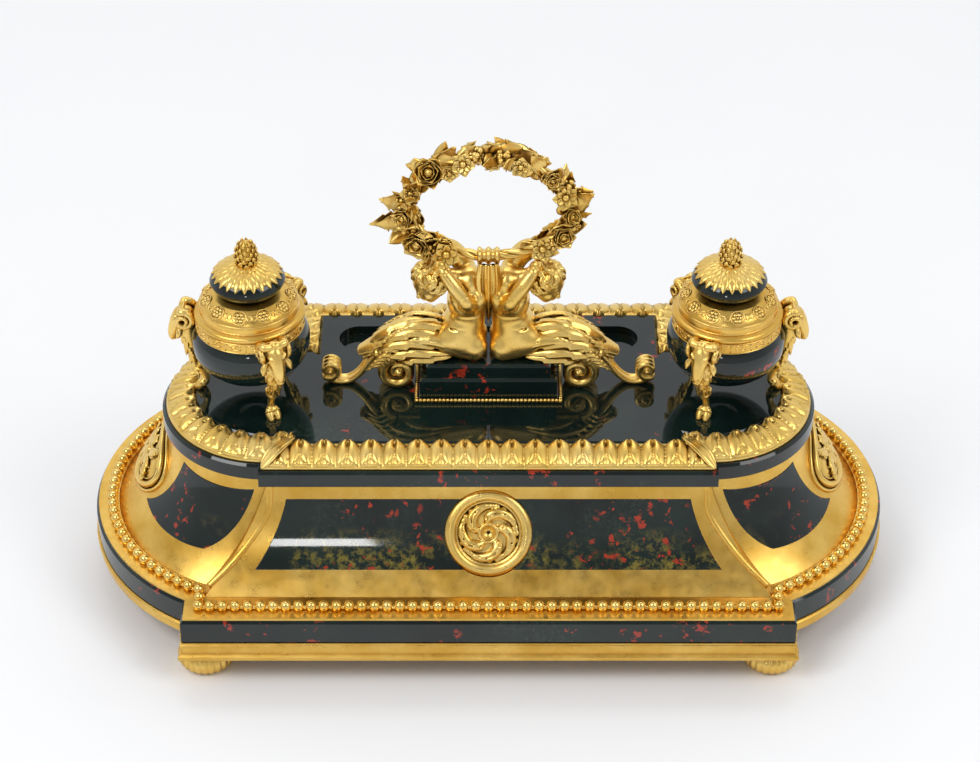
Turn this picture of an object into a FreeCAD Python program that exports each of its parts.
import FreeCAD, Part
import math
import os

# Two-tier inkstand in bloodstone and gilt bronze. Millimetres, +Z up, X to the right, Y to the back.
# The origin is on the ground under the middle of the object.

V = FreeCAD.Vector
UP = V(0, 0, 1)

# ---- driving dimensions -------------------------------------------------------------------------
FOOT_RADIUS = 17.0
FOOT_X = 168.0
FOOT_Y = 105.0
FOOT_TOP = 17.5
END_UNDERSIDE = 22.0

LOWER = {"front": (180.0, 124.2), "back": (180.0, 124.2), "end": (120.0, 121.5)}
UPPER = {"front": (134.5, 72.5), "back": (124.0, 98.0), "end": (131.0, 65.5)}
MOULDING_TOP = 30.0
LOWER_BAND_TOP = 46.0
TRAY_TOP = 47.5
UPPER_BAND_BOTTOM = 105.0
UPPER_BAND_TOP = 116.0
TABLE_TOP = 123.5
STONE_THICKNESS = 8.0
BAND_BEVEL = 1.5

COVE_HALF_X = 167.0
COVE_HALF_Y = 103.6
COVE_END_X = 127.0
COVE_END_RADIUS = 100.6
COVE_TOP_INSET = 6.0
COVE_RADIUS = 115.0
COVE_BACK_RADIUS = 240.0
SHELL = 4.0

BEAD_OFFSET = -10.2
BEAD_RADIUS = 3.3
LEAF_OUTER = -2.5
LEAF_INNER = -19.5
ROSETTE_RADIUS = 26.0

TROUGH_LENGTH = 184.0
TROUGH_WIDTH = 25.0
TROUGH_DEPTH = 6.0
TROUGH_Y = 53.0

PLINTH_MID_Y = 10.0
PLINTH_HALF_X = 41.0
PLINTH_HALF_Y = 22.0
PLINTH_LEDGE = 139.0
PLINTH_TOP = 146.5
FIGURE_Y = 8.0

URN_X = 141.0
RING_BOTTOM = 172.0
RING_TOP = 179.0
RING_RADIUS = 32.0
WELL_RADIUS = 22.5
WELL_FLOOR = 146.5
LINER_WALL = 1.9
LINER_TOP = RING_BOTTOM + 4.0
LINER_GAP = 0.2
CAVITY_RADIUS = WELL_RADIUS + 2.5
CAVITY_FLOOR = 144.0
HINGE_RADIUS = RING_RADIUS + 1.5
HINGE_Z = RING_TOP + 1.2
KNUCKLE_RADIUS = 2.2
PIN_RADIUS = 1.0
RUNNING = 0.05
LEG_AZIMUTHS = {"outer": 175.0, "front": -65.0, "back": 55.0}
HINGE_AZIMUTH = 115.0
LID_GAP = 0.1
OUTER_KNUCKLES = ((-7.0, -3.0), (3.0, 7.0))
MIDDLE_KNUCKLE = (-2.8, 2.8)
PIN_BORE = (-9.0, 9.0)
STEM_RADIUS = 1.6
STEM_HOLE = 1.65
BOSS_RADIUS = 22.2
BOSS_MID = 204.0
BOSS_HALF_HEIGHT = 9.5
BOSS_SEAT_RADIUS = 14.0
CLEAR_ABOVE = 300.0
CLEAR_BELOW = -1.0


# ---- helpers ------------------------------------------------------------------------------------
def box(x_range, y_range, z_range):
    size = [b - a for a, b in (x_range, y_range, z_range)]
    return Part.makeBox(*size, V(x_range[0], y_range[0], z_range[0]))


def cylinder(x, y, radius, z0, z1):
    return Part.makeCylinder(radius, z1 - z0, V(x, y, z0))


def union(shapes):
    return shapes[0].multiFuse(shapes[1:]).removeSplitter()


def mirror_x(shape):
    return shape.mirror(V(0, 0, 0), V(1, 0, 0))


def mirror_y(shape, y=0.0):
    return shape.mirror(V(0, y, 0), V(0, 1, 0))


def profile_face(profile, place):
    """Face between the axis (0) and a profile of (distance, z) points, or (mid, end) pairs for an arc."""
    first = profile[0]
    last = profile[-1][-2:]
    edges = [Part.makeLine(place(0, first[1]), place(*first))]
    here = first
    for item in profile[1:]:
        end = item[-2:]
        if len(item) == 4:
            edges.append(Part.Arc(place(*here), place(*item[:2]), place(*end)).toShape())
        else:
            edges.append(Part.makeLine(place(*here), place(*end)))
        here = end
    edges.append(Part.makeLine(place(*last), place(0, last[1])))
    edges.append(Part.makeLine(place(0, last[1]), place(0, first[1])))
    return Part.Face(Part.Wire(edges))


def shifted(profile, base):
    """The profile with its offsets measured from a base distance."""
    moved = []
    for item in profile:
        moved.append(tuple(value + base if i % 2 == 0 else value for i, value in enumerate(item)))
    return moved


def half_rectangle(profile, half_x, reach, sign, side_profile=None):
    """Moulded half rectangle, mitred at its two corners, from y=0 out to sign*reach."""
    span = 2.0 * (half_x + 60.0)
    front = profile_face(shifted(profile, reach), lambda d, z: V(-span / 2, sign * d, z))
    front = front.extrude(V(span, 0, 0))
    side = profile_face(shifted(side_profile or profile, half_x), lambda d, z: V(d, 0, z))
    side = side.extrude(V(0, sign * (reach + 60.0), 0))
    return front.common(union([side, mirror_x(side)]))


def revolved(profile, x=0.0, y=0.0):
    face = profile_face(profile, lambda d, z: V(x + d, y, z))
    return face.revolve(V(x, y, 0), UP, 360)


def moulded(plan, profile):
    """Solid with the plan's outline whose edge follows the profile of (offset, z) points."""
    end_x, end_radius = plan["end"]
    end = revolved(shifted(profile, end_radius), end_x)
    front = half_rectangle(profile, *plan["front"], -1)
    back = half_rectangle(profile, *plan["back"], 1)
    return union([front, back, end, mirror_x(end)])


def prism(plan, offset, z0, z1):
    return moulded(plan, [(offset, z0), (offset, z1)])


def limb(stations):
    """Round limb through stations (x, y, z, radius)."""
    points = [V(*s[:3]) for s in stations]
    rings = []
    for i, point in enumerate(points):
        along = points[min(i + 1, len(points) - 1)] - points[max(i - 1, 0)]
        circle = Part.Circle(point, along.normalize(), stations[i][3])
        rings.append(Part.Wire(circle.toShape()))
    return Part.makeLoft(rings, True, False)


def ball(x, y, z, radius):
    return Part.makeSphere(radius, V(x, y, z))


def frame_on(centre, normal, shape):
    """Places a shape modelled on the origin with +Z outwards at a centre along a normal."""
    placed = shape.copy()
    placed.Placement = FreeCAD.Placement(centre, FreeCAD.Rotation(UP, normal))
    return placed


# ---- cove between the two tiers -----------------------------------------------------------------
def cove_offset(z, run, radius, inset):
    """Distance of the concave cove behind its foot line at height z."""
    rise = UPPER_BAND_BOTTOM - TRAY_TOP
    chord = math.hypot(run, rise)
    reach = math.sqrt(radius**2 - (chord / 2) ** 2)
    centre_out = -run / 2 + reach * rise / chord
    centre_z = (TRAY_TOP + UPPER_BAND_BOTTOM) / 2 + reach * run / chord
    return centre_out - math.sqrt((radius + inset) ** 2 - (z - centre_z) ** 2)


def cove_profile(run, radius, inset):
    middle = (TRAY_TOP + UPPER_BAND_BOTTOM) / 2
    foot, mid, top = [
        (cove_offset(z, run, radius, inset), z) for z in (TRAY_TOP, middle, UPPER_BAND_BOTTOM)
    ]
    return [foot, mid + top]


def cove_runs():
    """Horizontal run of the cove at the front, the end, the back and the back section's sides."""
    front = COVE_HALF_Y - (UPPER["front"][1] - COVE_TOP_INSET)
    back = COVE_HALF_Y - (UPPER["back"][1] - COVE_TOP_INSET)
    back_side = COVE_HALF_X - (UPPER["back"][0] - COVE_TOP_INSET)
    return front, back, back_side


def end_point(azimuth, z):
    """Point on the right end's cove at an azimuth from +X and a height, as (x, y)."""
    radius = COVE_END_RADIUS + cove_offset(z, cove_runs()[0], COVE_RADIUS, 0.0)
    angle = math.radians(azimuth)
    return COVE_END_X + radius * math.cos(angle), radius * math.sin(angle)


def cove_body(inset):
    front_run, back_run, back_side_run = cove_runs()
    front = cove_profile(front_run, COVE_RADIUS, inset)
    back = cove_profile(back_run, COVE_BACK_RADIUS, inset)
    back_side = cove_profile(back_side_run, COVE_RADIUS, inset)
    end = revolved(shifted(front, COVE_END_RADIUS), COVE_END_X)
    pieces = [
        half_rectangle(front, COVE_HALF_X, COVE_HALF_Y, -1),
        half_rectangle(back, COVE_HALF_X, COVE_HALF_Y, 1, back_side),
        end,
        mirror_x(end),
    ]
    return union(pieces)


def panel_prism(half, side):
    """Opening of one long panel, seen from the front: sloping outer edge, round rosette at the middle."""
    near, far_top, far_bottom = half
    bottom, top = 58.8, 94.6
    middle = ((far_top + far_bottom) / 2 - 3.0, (bottom + top) / 2)
    depth = 45.0

    def place(x, z):
        return V(x, side * 62.0, z)

    edges = [
        Part.makeLine(place(near, bottom), place(far_bottom, bottom)),
        Part.Arc(place(far_bottom, bottom), place(*middle), place(far_top, top)).toShape(),
        Part.makeLine(place(far_top, top), place(near, top)),
        Part.makeLine(place(near, top), place(near, bottom)),
    ]
    return Part.Face(Part.Wire(edges)).extrude(V(0, side * depth, 0))


def corner_prism():
    """Shield-shaped opening at the front right, seen from above, between heights of the cove."""
    corners = {
        "top_inner": (-80.5, 98.0),
        "inner_middle": (-73.0, 76.5),
        "tip": (-61.0, 61.5),
        "foot_middle": (-42.5, 60.0),
        "outer": (-20.0, 63.0),
        "outer_middle": (-31.5, 82.0),
        "top_outer": (-34.0, 97.0),
        "top_middle": (-56.0, 95.8),
    }
    at = {name: V(*end_point(azimuth, z), TRAY_TOP + 1) for name, (azimuth, z) in corners.items()}
    edges = [
        Part.Arc(at["top_inner"], at["inner_middle"], at["tip"]).toShape(),
        Part.Arc(at["tip"], at["foot_middle"], at["outer"]).toShape(),
        Part.Arc(at["outer"], at["outer_middle"], at["top_outer"]).toShape(),
        Part.Arc(at["top_outer"], at["top_middle"], at["top_inner"]).toShape(),
    ]
    return Part.Face(Part.Wire(edges)).extrude(V(0, 0, UPPER_BAND_BOTTOM - TRAY_TOP - 3))


def cove_normal(run, radius):
    """Outward (horizontal, vertical) unit normal of the cove at its middle height, and its offset there."""
    z = (TRAY_TOP + UPPER_BAND_BOTTOM) / 2
    slope = (cove_offset(z + 1, run, radius, 0) - cove_offset(z - 1, run, radius, 0)) / 2
    length = math.hypot(1.0, slope)
    return 1.0 / length, -slope / length, cove_offset(z, run, radius, 0), z


def rosette_places():
    """Centre and outward normal of the front and the back rosette."""
    front_run, back_run, _ = cove_runs()
    places = {}
    for name, sign, run, radius in (
        ("front", -1, front_run, COVE_RADIUS),
        ("back", 1, back_run, COVE_BACK_RADIUS),
    ):
        out, rise, offset, z = cove_normal(run, radius)
        places[name] = (V(0, sign * (COVE_HALF_Y + offset), z), V(0, sign * out, rise))
    return places


def medallion_place():
    """Centre and outward normal of the right end medallion."""
    out, rise, offset, z = cove_normal(cove_runs()[0], COVE_RADIUS)
    return V(COVE_END_X + COVE_END_RADIUS + offset, 0, z), V(out, 0, rise)


def rosette():
    """Round boss: raised rim, sunk field and a small domed middle."""
    rim = 3.0
    profile = [
        (ROSETTE_RADIUS, -0.9),
        (ROSETTE_RADIUS, 1.2),
        (ROSETTE_RADIUS - rim, 2.8),
        (ROSETTE_RADIUS - 2 * rim, 2.8),
        (ROSETTE_RADIUS - 2.4 * rim, 1.2),
        (4.0, 2.2),
        (3.0, 1.0),
    ]
    return revolved(profile)


def ellipse_prism(half_long, half_short, depth):
    """Oval prism about +Z with its long axis along Y, from -depth to +depth."""
    ellipse = Part.Ellipse(V(0, half_long, -depth), V(half_short, 0, -depth), V(0, 0, -depth))
    return Part.Face(Part.Wire(ellipse.toShape())).extrude(V(0, 0, 2 * depth))


def medallion():
    """Right end's oval pad that follows the curve of the cove: raised rim and sunk field."""
    centre, normal = medallion_place()
    half_long, half_short, rim, depth = 29.0, 17.5, 3.5, 16.0
    rim_height, field_height = 2.4, 1.0
    pad = frame_on(centre, normal, ellipse_prism(half_long, half_short, depth))
    pad = pad.common(cove_body(-rim_height)).cut(cove_body(0.0))
    field = frame_on(centre, normal, ellipse_prism(half_long - rim, half_short - rim, depth))
    pad = pad.cut(field.cut(cove_body(-field_height)))
    return max(pad.Solids, key=lambda solid: solid.Volume)


# ---- base ---------------------------------------------------------------------------------------
def make_feet():
    profile = [
        (FOOT_RADIUS - 8, 0.0),
        (FOOT_RADIUS, 4.5, FOOT_RADIUS - 1.5, 10.0),
        (FOOT_RADIUS - 5, 13.5),
        (FOOT_RADIUS - 3, FOOT_TOP),
    ]
    stud_radius, stud_top = 2.5, 30.0
    feet = {}
    for y_name, y in (("front", -FOOT_Y), ("back", FOOT_Y)):
        for x_name, x in (("left", -FOOT_X), ("right", FOOT_X)):
            bun = revolved(profile, x, y)
            stud = cylinder(x, y, stud_radius, FOOT_TOP - 1, stud_top)
            feet[f"foot_{y_name}_{x_name}"] = union([bun, stud])
    return feet


def screw_places():
    return [(x, y) for x in (-95.0, 95.0) for y in (-45.0, 0.0, 45.0)]


def make_screws():
    head_radius, shank_radius, head_height, length = 4.0, 2.0, 3.0, 26.0
    screws = []
    for x, y in screw_places():
        head = Part.makeCone(head_radius, shank_radius, head_height, V(x, y, FOOT_TOP))
        screws.append(union([head, cylinder(x, y, shank_radius, FOOT_TOP, FOOT_TOP + length)]))
    return Part.makeCompound(screws)


def make_base_moulding():
    profile = [
        (1.0, FOOT_TOP),
        (2.2, 18.2),
        (2.6, 19.4),
        (2.2, 20.6),
        (1.0, 21.4),
        (0.2, 21.8),
        (0.2, 27.0),
        (1.1, 27.6),
        (1.1, 28.6),
        (0.4, 29.2),
        (0.4, MOULDING_TOP),
    ]
    ring = moulded(LOWER, profile).cut(prism(LOWER, -STONE_THICKNESS, 0, MOULDING_TOP + 1))
    end_x, end_radius = LOWER["end"]
    half_x, half_y = LOWER["front"]
    low_ends = [cylinder(s * end_x, 0, end_radius + 10, 0, END_UNDERSIDE) for s in (-1, 1)]
    middle = box((-half_x - 3, half_x + 3), (-half_y - 10, half_y + 10), (-1, END_UNDERSIDE + 1))
    return ring.cut(union(low_ends).cut(middle))


def band(plan, z0, z1):
    """Stone band with bevelled edges round a tier."""
    profile = [(-0.8, z0), (0.0, z0 + 0.8), (0.0, z1 - BAND_BEVEL), (-BAND_BEVEL, z1)]
    return moulded(plan, profile).cut(prism(plan, -STONE_THICKNESS, z0 - 1, z1 + 1))


def strips(ring, half_x, reach):
    """The band's front, back and two end strips as separate solids."""
    middle = box((-half_x, half_x), (-reach, reach), (0, 200))
    parts = list(ring.common(middle).Solids) + list(ring.cut(middle).Solids)
    return Part.makeCompound(parts)


def cove_plan():
    return {
        "front": (COVE_HALF_X, COVE_HALF_Y),
        "back": (COVE_HALF_X, COVE_HALF_Y),
        "end": (COVE_END_X, COVE_END_RADIUS),
    }


def make_lower_tier():
    core_foot = prism(cove_plan(), -SHELL - 2.0, LOWER_BAND_TOP, TRAY_TOP)
    carcass = prism(LOWER, -STONE_THICKNESS, FOOT_TOP, LOWER_BAND_TOP)
    end_cut = box((-400, 400), (-300, 300), (0, END_UNDERSIDE))
    half_x, half_y = LOWER["front"]
    end_cut = end_cut.cut(box((-half_x + 8, half_x - 8), (-half_y, half_y), (-1, END_UNDERSIDE + 1)))
    carcass = union([carcass.cut(end_cut), core_foot, cove_body(SHELL)])
    tray = prism(LOWER, -BAND_BEVEL, LOWER_BAND_TOP, TRAY_TOP).cut(core_foot)
    stone = strips(band(LOWER, MOULDING_TOP, LOWER_BAND_TOP), *LOWER["front"])
    bead_top = (BEAD_OFFSET, TRAY_TOP + 1.7 * BEAD_RADIUS)
    bead_ring = moulded(LOWER, [(BEAD_OFFSET + BEAD_RADIUS, TRAY_TOP), bead_top])
    cove_gap, above = 0.1, TRAY_TOP + 20
    bead_ring = bead_ring.cut(prism(LOWER, BEAD_OFFSET - BEAD_RADIUS, TRAY_TOP - 1, above))
    bead_ring = bead_ring.cut(prism(cove_plan(), cove_gap, TRAY_TOP - 1, above))
    return carcass, tray, stone, bead_ring


def make_cove_pieces():
    """Gilt frame of the cove and the stone panels that fill its openings."""
    shell = cove_body(0.0).cut(cove_body(SHELL))
    pieces = {}
    holes = []
    for name, (centre, normal) in rosette_places().items():
        disc = Part.makeCylinder(ROSETTE_RADIUS, 14.0, V(0, 0, -7))
        holes.append(frame_on(centre, normal, disc))
        pieces[f"rosette_{name}"] = frame_on(centre, normal, rosette())
    pieces["end_medallion_right"] = medallion()
    pieces["end_medallion_left"] = mirror_x(pieces["end_medallion_right"])
    frame = shell
    openings = {}
    for y_name, side in (("front", -1), ("back", 1)):
        right = panel_prism((10.0, 119.0, 137.5), side)
        openings[f"panel_{y_name}_right"] = right
        openings[f"panel_{y_name}_left"] = mirror_x(right)
        corner = corner_prism() if side < 0 else mirror_y(corner_prism())
        openings[f"corner_panel_{y_name}_right"] = corner
        openings[f"corner_panel_{y_name}_left"] = mirror_x(corner)
    for node, opening in openings.items():
        pieces[node] = max(shell.common(opening).cut(union(holes)).Solids, key=lambda s: s.Volume)
        frame = frame.cut(opening)
    pieces["body_frame"] = frame.cut(union(holes))
    return pieces


def make_upper_tier():
    carcass = prism(UPPER, -STONE_THICKNESS, UPPER_BAND_BOTTOM, UPPER_BAND_TOP)
    stone = strips(band(UPPER, UPPER_BAND_BOTTOM, UPPER_BAND_TOP), UPPER["back"][0], UPPER["back"][1])
    leaf_profile = [
        (LEAF_OUTER, UPPER_BAND_TOP),
        (LEAF_OUTER, UPPER_BAND_TOP + 1.0),
        (LEAF_OUTER - 4.5, TABLE_TOP - 1.5, LEAF_INNER, TABLE_TOP + 0.8),
    ]
    leaves = moulded(UPPER, leaf_profile)
    leaves = leaves.cut(prism(UPPER, LEAF_INNER, UPPER_BAND_TOP - 1, TABLE_TOP + 9))
    edge = LEAF_INNER - 0.2
    slab = moulded(UPPER, [(edge, UPPER_BAND_TOP), (edge, TABLE_TOP - 1.2), (edge - 1.2, TABLE_TOP)])
    half_length = TROUGH_LENGTH / 2 - TROUGH_WIDTH / 2
    half_width = TROUGH_WIDTH / 2
    floor = TABLE_TOP - TROUGH_DEPTH
    trough = union(
        [
            box((-half_length, half_length), (TROUGH_Y - half_width, TROUGH_Y + half_width), (floor, 140)),
            cylinder(-half_length, TROUGH_Y, half_width, floor, 140),
            cylinder(half_length, TROUGH_Y, half_width, floor, 140),
        ]
    )
    slab = slab.cut(trough)
    right = slab.common(box((0, 300), (-200, 200), (0, 200)))
    return carcass, stone, leaves, mirror_x(right), right


def stepped_block(steps):
    """Stack of (half_x, half_y, z0, z1) blocks on the plinth's centre, with sloping upper edges."""
    blocks = []
    for half_x, half_y, z0, z1 in steps:
        slope = 1.5
        plan = {"front": (half_x, half_y), "back": (half_x, half_y)}
        profile = [(0, z0), (0, z1 - slope), (-slope, z1)]
        halves = [half_rectangle(profile, *plan[k], s) for k, s in (("front", -1), ("back", 1))]
        blocks += halves
    block = union(blocks)
    block.translate(V(0, PLINTH_MID_Y, 0))
    return block


def make_plinth():
    block = stepped_block([(PLINTH_HALF_X, PLINTH_HALF_Y, TABLE_TOP, PLINTH_LEDGE)])
    top_half_x, top_half_y = PLINTH_HALF_X - 4.0, PLINTH_HALF_Y - 4.0
    top = stepped_block([(top_half_x, top_half_y, PLINTH_LEDGE, PLINTH_TOP)])
    bead_width, bead_height = 3.6, 3.0
    outer_x, outer_y = PLINTH_HALF_X + bead_width, PLINTH_HALF_Y + bead_width
    beads = stepped_block([(outer_x, outer_y, TABLE_TOP, TABLE_TOP + bead_height)])
    y_range = (PLINTH_MID_Y - PLINTH_HALF_Y, PLINTH_MID_Y + PLINTH_HALF_Y)
    beads = beads.cut(box((-PLINTH_HALF_X, PLINTH_HALF_X), y_range, (100, 200)))
    return block, top, beads


# ---- handle group -------------------------------------------------------------------------------
def make_wreath():
    """Oval upright ring of flowers and leaves."""
    centre_z, half_width, half_height, tube = 254.5, 46.0, 35.5, 6.6
    path = Part.Ellipse(V(0, FIGURE_Y, centre_z), half_width, half_height)
    turn = FreeCAD.Placement(V(0, 0, 0), FreeCAD.Rotation(V(1, 0, 0), 90), V(0, FIGURE_Y, centre_z))
    wire = Part.Wire(path.toShape())
    wire.Placement = turn.multiply(wire.Placement)
    start = V(half_width, FIGURE_Y, centre_z)
    circle = Part.Wire(Part.Circle(start, UP, tube).toShape())
    return wire.makePipeShell([circle], True, False)


def make_figure():
    """Left putto: seated body, lifted arms and an acanthus scroll for a tail."""
    y = FIGURE_Y
    torso = limb(
        [
            (-16.0, y, PLINTH_TOP - 2, 11.0),
            (-15.5, y, 157.0, 13.6),
            (-14.0, y, 170.0, 12.0),
            (-14.6, y, 184.0, 13.0),
            (-16.5, y, 196.0, 10.0),
        ]
    )
    neck = limb([(-17.0, y, 190.0, 6.0), (-24.0, y, 197.0, 5.6), (-31.0, y, 201.0, 6.0)])
    head = ball(-32.5, y, 202.0, 11.8)
    haunch = limb([(-14.0, y, 158.0, 11.0), (-26.0, y, 158.5, 11.0), (-38.0, y, 157.0, 9.0)])
    spray = limb([(-33.0, y, 157.0, 10.0), (-48.0, y, 160.0, 10.5), (-62.0, y, 158.0, 7.0), (-74.0, y, 154.0, 3.0)])
    volute = Part.makeTorus(6.0, 4.2, V(-55.0, y, 139.0), V(0, 1, 0))
    hub = ball(-55.0, y, 139.0, 4.8)
    link = limb([(-40.0, y, 153.0, 5.0), (-49.0, y, 149.0, 4.5), (-57.0, y, 145.0, 3.5)])
    stem = limb(
        [
            (-62.0, y, 156.0, 3.4),
            (-72.0, y, 149.0, 2.8),
            (-79.0, y, 136.0, 2.6),
            (-88.0, y, 129.0, 2.4),
            (-96.5, y, 132.5, 2.2),
            (-97.5, y, 140.0, 2.0),
        ]
    )
    bud = ball(-96.0, y, 143.0, 6.6)
    arm = [
        limb([(-15.5, y - 9, 193.0, 4.6), (-13.0, y - 13.5, 188.5, 4.4), (-11.5, y - 15.5, 184.0, 4.0)]),
        ball(-11.6, y - 15.6, 183.8, 4.2),
        limb([(-11.6, y - 15.6, 184.0, 4.0), (-20.0, y - 12.5, 197.0, 4.0), (-27.0, y - 8, 208.0, 3.4)]),
        ball(-28.2, y - 6, 211.0, 4.4),
    ]
    far_arm = [mirror_y(piece, y) for piece in arm]
    body = union([torso, neck, haunch, spray, volute, hub, link, stem, bud] + arm + far_arm)
    return union([body, head])


def make_handle_group():
    beside = box((-200, 0), (-200, 200), (0, 300))
    wreath = make_wreath()
    keep = box((-39, 39), (-60, 60), (100, PLINTH_TOP))
    figure = make_figure().common(beside).cut(keep).cut(wreath)
    left = max(figure.Solids, key=lambda s: s.Volume)
    right = mirror_x(left)
    cloth = limb(
        [
            (0, FIGURE_Y - 7.0, 216.0, 6.0),
            (0, FIGURE_Y - 8.0, 205.0, 6.6),
            (0, FIGURE_Y - 9.0, 190.0, 5.0),
            (0, FIGURE_Y - 8.5, 175.0, 2.6),
        ]
    )
    cloth = cloth.cut(union([left, right, wreath]))
    cloth = max(cloth.Solids, key=lambda s: s.Volume)
    return left, right, cloth, wreath


# ---- ink urns -----------------------------------------------------------------------------------
def polar(radius, azimuth, z=0.0):
    angle = math.radians(azimuth)
    return V(radius * math.cos(angle), radius * math.sin(angle), z)


def bowl_outer():
    return revolved(
        [
            (4.0, 138.5),
            (10.0, 141.0),
            (29.6, 147.8, 35.0, 162.0),
            (34.4, 167.6, RING_RADIUS, RING_BOTTOM),
        ]
    )


def make_bowl():
    return bowl_outer().cut(cylinder(0, 0, CAVITY_RADIUS, CAVITY_FLOOR, RING_TOP))


def make_liner():
    """Glass cup that drops through the ring and hangs by its lip."""
    lip_width = 2.4
    cup = cylinder(0, 0, WELL_RADIUS + LINER_WALL, CAVITY_FLOOR + LINER_GAP, LINER_TOP)
    lip = cylinder(0, 0, WELL_RADIUS + LINER_WALL + lip_width, RING_BOTTOM + LINER_GAP, LINER_TOP)
    return union([cup, lip]).cut(cylinder(0, 0, WELL_RADIUS, WELL_FLOOR, CLEAR_ABOVE))


def knuckle(start, end, radius):
    """Cylinder along the hinge axis, between two distances from the hinge's middle."""
    base = polar(HINGE_RADIUS, HINGE_AZIMUTH, HINGE_Z)
    along = polar(1.0, HINGE_AZIMUTH + 90)
    return Part.makeCylinder(radius, end - start, base + along * start, along)


def hinge_leaf(start, end, inner, z0, z1):
    """Block that ties a knuckle to its ring, in the hinge's own direction."""
    block = box((inner, HINGE_RADIUS), (start, end), (z0, z1))
    block.rotate(V(0, 0, 0), UP, HINGE_AZIMUTH)
    return block


def make_ring():
    """Rim ring with the two fixed knuckles of the hinge."""
    hole_radius = WELL_RADIUS + 4.8
    leaf_inner, leaf_depth = RING_RADIUS - 3.5, 2.0
    side_gap, round_gap = 0.2, 0.3
    ring = revolved([(RING_RADIUS, RING_BOTTOM), (RING_RADIUS, RING_TOP)])
    ring = ring.cut(cylinder(0, 0, hole_radius, CLEAR_BELOW, CLEAR_ABOVE))
    for start, end in OUTER_KNUCKLES:
        leaf = hinge_leaf(start, end, leaf_inner, RING_TOP - leaf_depth, RING_TOP)
        ring = union([ring, leaf, knuckle(start, end, KNUCKLE_RADIUS)])
    start, end = MIDDLE_KNUCKLE
    ring = ring.cut(knuckle(start - side_gap, end + side_gap, KNUCKLE_RADIUS + round_gap))
    return ring.cut(knuckle(*PIN_BORE, PIN_RADIUS + RUNNING))


def make_pin():
    overhang = 0.8
    return knuckle(OUTER_KNUCKLES[0][0] - overhang, OUTER_KNUCKLES[1][1] + overhang, PIN_RADIUS)


def make_leg():
    """Monopodium on the +X side: ram's head with curled horns, curved leg and cloven hoof."""
    spine = limb(
        [
            (37.2, 0, 170.0, 4.6),
            (37.4, 0, 163.0, 4.4),
            (36.2, 0, 154.0, 4.0),
            (32.6, 0, 144.0, 3.0),
            (29.0, 0, 135.0, 2.8),
            (30.0, 0, 127.5, 3.2),
        ]
    )
    head = Part.makeSphere(6.2, V(38.0, 0, 174.5))
    muzzle = limb([(38.5, 0, 174.5, 5.4), (43.0, 0, 168.5, 4.4), (45.3, 0, 162.5, 3.0)])
    horns = [Part.makeTorus(4.6, 2.4, V(37.6, side * 7.0, 175.5), V(0.25, side, 0)) for side in (-1, 1)]
    toe_x, toe_y, toe_bottom, toe_top, toe_height = 31.4, 1.9, 2.9, 2.3, 5.5
    toes = [Part.makeCone(toe_bottom, toe_top, toe_height, V(toe_x, s * toe_y, TABLE_TOP)) for s in (-1, 1)]
    leg = union([spine, head, muzzle] + horns + toes)
    lid_clearance = 1.2
    leg = leg.cut(bowl_outer()).cut(cylinder(0, 0, RING_RADIUS, RING_BOTTOM - 1, RING_TOP))
    leg = leg.cut(cylinder(0, 0, RING_RADIUS + lid_clearance, RING_TOP, CLEAR_ABOVE))
    return max(leg.Solids, key=lambda s: s.Volume)


def dome_profile():
    bottom = RING_TOP + LID_GAP
    return [
        (31.6, bottom),
        (32.8, bottom + 1.8, 31.6, bottom + 3.6),
        (29.6, bottom + 4.4),
        (29.0, bottom + 9.4, 25.0, bottom + 14.4),
        (21.5, bottom + 16.4),
        (18.0, bottom + 17.2),
        (BOSS_SEAT_RADIUS, 2 * BOSS_MID - boss_height(BOSS_SEAT_RADIUS)),
    ]


def make_dome():
    """Hollow gilt lid with the middle knuckle of the hinge."""
    side_gap, round_gap = 0.3, 0.35
    leaf_low, leaf_high = 0.6, 2.6
    inner = revolved([(28.0, RING_TOP - 1), (26.6, 187.0), (21.0, 193.0), (6.0, 193.4)])
    dome = revolved(dome_profile()).cut(inner)
    for start, end in OUTER_KNUCKLES:
        dome = dome.cut(knuckle(start - side_gap, end + 3 * side_gap, KNUCKLE_RADIUS + round_gap))
    dome = dome.cut(knuckle(PIN_BORE[0], OUTER_KNUCKLES[0][0], KNUCKLE_RADIUS + round_gap))
    leaf_inner = RING_RADIUS - 3.5
    leaf = hinge_leaf(*MIDDLE_KNUCKLE, leaf_inner, RING_TOP + leaf_low, RING_TOP + leaf_high)
    dome = dome.multiFuse([leaf, knuckle(*MIDDLE_KNUCKLE, KNUCKLE_RADIUS)])
    dome = dome.cut(knuckle(*PIN_BORE, PIN_RADIUS + RUNNING))
    return dome.cut(cylinder(0, 0, STEM_HOLE, CLEAR_BELOW, CLEAR_ABOVE))


def boss_height(radius):
    return BOSS_MID + BOSS_HALF_HEIGHT * math.sqrt(1.0 - (radius / BOSS_RADIUS) ** 2)


def make_boss():
    """Polished stone ring between the dome and the leaf cap."""
    low_radius, high_radius, top_radius = 20.0, 18.5, 8.0
    low = (BOSS_SEAT_RADIUS, 2 * BOSS_MID - boss_height(BOSS_SEAT_RADIUS))
    low_mid = (low_radius, 2 * BOSS_MID - boss_height(low_radius))
    high = (top_radius, boss_height(top_radius))
    high_mid = (high_radius, boss_height(high_radius))
    profile = [low, low_mid + (BOSS_RADIUS, BOSS_MID), high_mid + high]
    return revolved(profile).cut(cylinder(0, 0, STEM_HOLE, CLEAR_BELOW, CLEAR_ABOVE))


CAP_TOP_RADIUS = 7.0
CAP_TOP = boss_height(CAP_TOP_RADIUS) + 2.4


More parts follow.
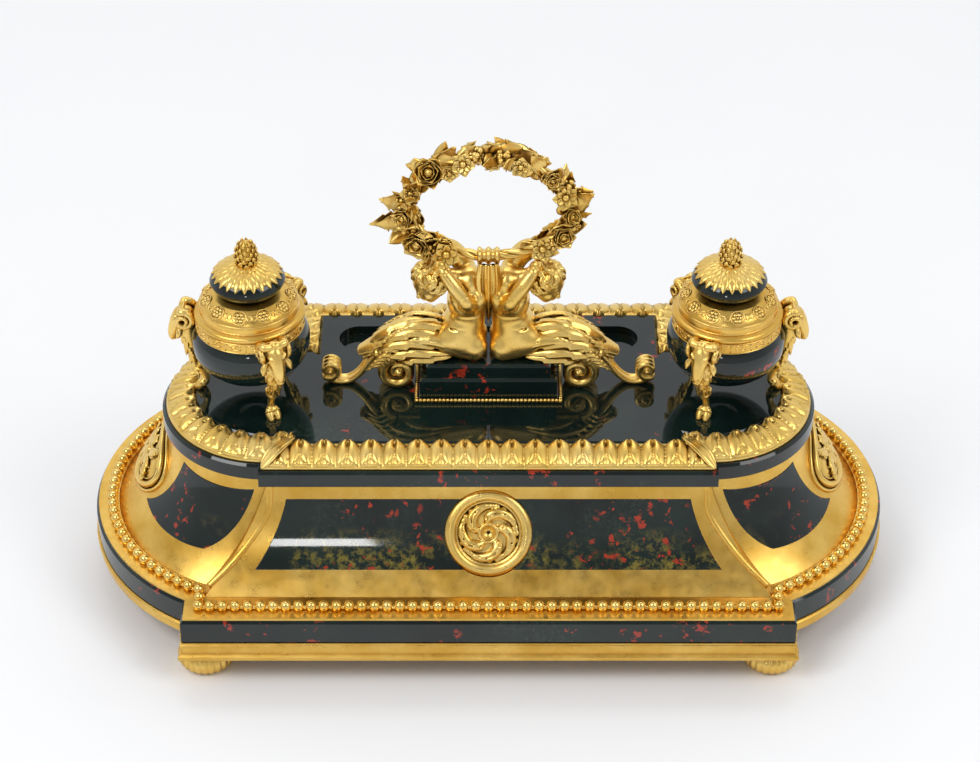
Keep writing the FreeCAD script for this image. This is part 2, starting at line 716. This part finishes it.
def make_leaf_cap():
    """Rosette of pointed leaves on the boss."""
    outer, leaves, notch, edge = 20.5, 24, 2.6, 0.8
    middle, thickness = 14.0, 1.6
    low = boss_height(outer)
    profile = [
        (outer, low),
        (outer, low + edge),
        (middle, boss_height(middle) + thickness, CAP_TOP_RADIUS, CAP_TOP),
    ]
    points = []
    for i in range(2 * leaves + 1):
        radius = outer if i % 2 == 0 else outer - notch
        points.append(polar(radius, 180.0 * i / leaves, RING_TOP))
    star = Part.Face(Part.makePolygon(points)).extrude(V(0, 0, CAP_TOP))
    cap = revolved(profile).common(star).cut(make_boss())
    return cap.cut(cylinder(0, 0, STEM_HOLE, CLEAR_BELOW, CLEAR_ABOVE))


def make_finial():
    """Pine cone with the threaded stem that holds the lid together."""
    stem_end = 187.0
    steps = ((4.4, 0.0), (5.8, 2.2), (6.2, 5.0), (5.6, 8.4), (4.0, 12.2), (2.4, 14.2), (0.6, 15.2))
    cone = revolved([(radius, CAP_TOP + height) for radius, height in steps])
    return union([cone, cylinder(0, 0, STEM_RADIUS, stem_end, CAP_TOP + 2)])


def make_nut():
    corner_radius, bottom, height = 4.0, 190.1, 3.2
    points = [polar(corner_radius, 60.0 * i, bottom) for i in range(7)]
    nut = Part.Face(Part.makePolygon(points)).extrude(V(0, 0, height))
    return nut.cut(cylinder(0, 0, STEM_HOLE, CLEAR_BELOW, CLEAR_ABOVE))


def make_urn():
    """Left urn's pieces, on its own axis."""
    pieces = {
        "bowl": make_bowl(),
        "rim_ring": make_ring(),
        "ink_liner": make_liner(),
        "hinge_pin": make_pin(),
        "lid_dome": make_dome(),
        "lid_boss": make_boss(),
        "leaf_cap": make_leaf_cap(),
        "finial": make_finial(),
        "lid_nut": make_nut(),
    }
    leg = make_leg()
    for name, azimuth in LEG_AZIMUTHS.items():
        turned = leg.copy()
        turned.rotate(V(0, 0, 0), UP, azimuth)
        pieces[f"leg_{name}"] = turned
    return pieces


def mirror_urn(shape):
    moved = shape.copy()
    moved.translate(V(-URN_X, 0, 0))
    return moved


# ---- the whole inkstand -------------------------------------------------------------------------
def build():
    nodes = dict(make_feet())
    screws = make_screws()
    carcass, tray, stone, bead_ring = make_lower_tier()
    for foot in list(nodes.values()):
        carcass = carcass.cut(foot)
    nodes["carcass_lower"] = carcass.cut(screws)
    nodes["fixing_screws"] = screws
    nodes["base_moulding"] = make_base_moulding()
    nodes["lower_stone_band"] = stone
    nodes["lower_tray"] = tray
    nodes["bead_border"] = bead_ring
    nodes.update(make_cove_pieces())
    upper = make_upper_tier()
    nodes["carcass_upper"], nodes["upper_stone_band"], nodes["leaf_border"] = upper[:3]
    nodes["top_stone_left"], nodes["top_stone_right"] = upper[3:]
    nodes["plinth_block"], nodes["plinth_top"], nodes["plinth_beads"] = make_plinth()
    handle = make_handle_group()
    nodes["figure_left"], nodes["figure_right"], nodes["drapery"], nodes["wreath"] = handle
    for name, shape in make_urn().items():
        left = mirror_urn(shape)
        nodes[f"{name}_left"] = left
        nodes[f"{name}_right"] = mirror_x(left)
    return nodes


os.makedirs("parts", exist_ok=True)
for node, solid in build().items():
    solid.exportStep(f"parts/{node}.step")
    print(node, len(solid.Solids), solid.isValid(), round(solid.Volume / 1000, 1))
